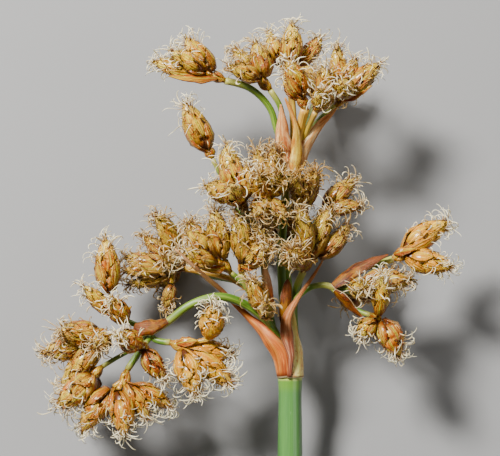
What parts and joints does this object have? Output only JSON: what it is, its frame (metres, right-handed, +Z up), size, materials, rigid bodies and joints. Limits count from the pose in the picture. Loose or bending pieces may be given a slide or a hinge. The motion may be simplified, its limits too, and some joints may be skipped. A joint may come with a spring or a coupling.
{
  "type": "softstem bulrush flower top",
  "caption": "Cut flowering top of a softstem bulrush: a round green stem ending in a branched umbel of brown scaly spikelets with pale curled filaments, lying on a surface.",
  "frame": {"origin": "on the surface that the plant lies on, under the middle of its bounding box", "axes": "+Y along the stem towards the flowering top, +Z up from the surface, +X to the right of the stem seen from above"},
  "size_m": [0.0704, 0.1188, 0.0291],
  "materials": {
    "culm": "satin",
    "ray": "satin",
    "bract": "matte",
    "straw": "matte",
    "head": "matte"
  },
  "bodies": {
    "root": {"culm": "culm", "ray_top": "ray", "ray_left": "ray", "ray_right": "ray", "ray_centre": "ray", "ray_centre_left": "ray", "ray_centre_right": "ray", "ray_back": "ray", "bract_left": "bract", "bract_wrap": "bract", "bract_centre": "bract", "bract_inner": "bract", "bract_top_left": "bract", "bract_joint_left": "bract", "bract_joint_right": "bract", "bract_joint_low": "bract", "bract_main": "straw", "bract_top_front": "straw", "bract_top_right": "straw", "head_top_left": "head", "head_top_inner": "head", "head_top_crown": "head", "head_top_front": "head", "head_top_low": "head", "head_top_right": "head", "head_top_back": "head", "spikelet_lone": "head", "head_centre_left": "head", "head_centre_front": "head", "head_upper_right": "head", "head_far_right": "head", "head_lower_right": "head", "head_lower_left": "head", "head_mid_left": "head", "head_side": "head", "head_side_back": "head", "head_stem": "head", "head_left_top": "head", "head_left_joint": "head", "head_left_far": "head", "head_left_low": "head", "head_left_bottom": "head", "head_left_near": "head", "head_right_tip": "head", "head_right_near": "head", "head_right_low": "head", "head_right_back": "head", "head_back": "head"}
  },
  "joints": []
}
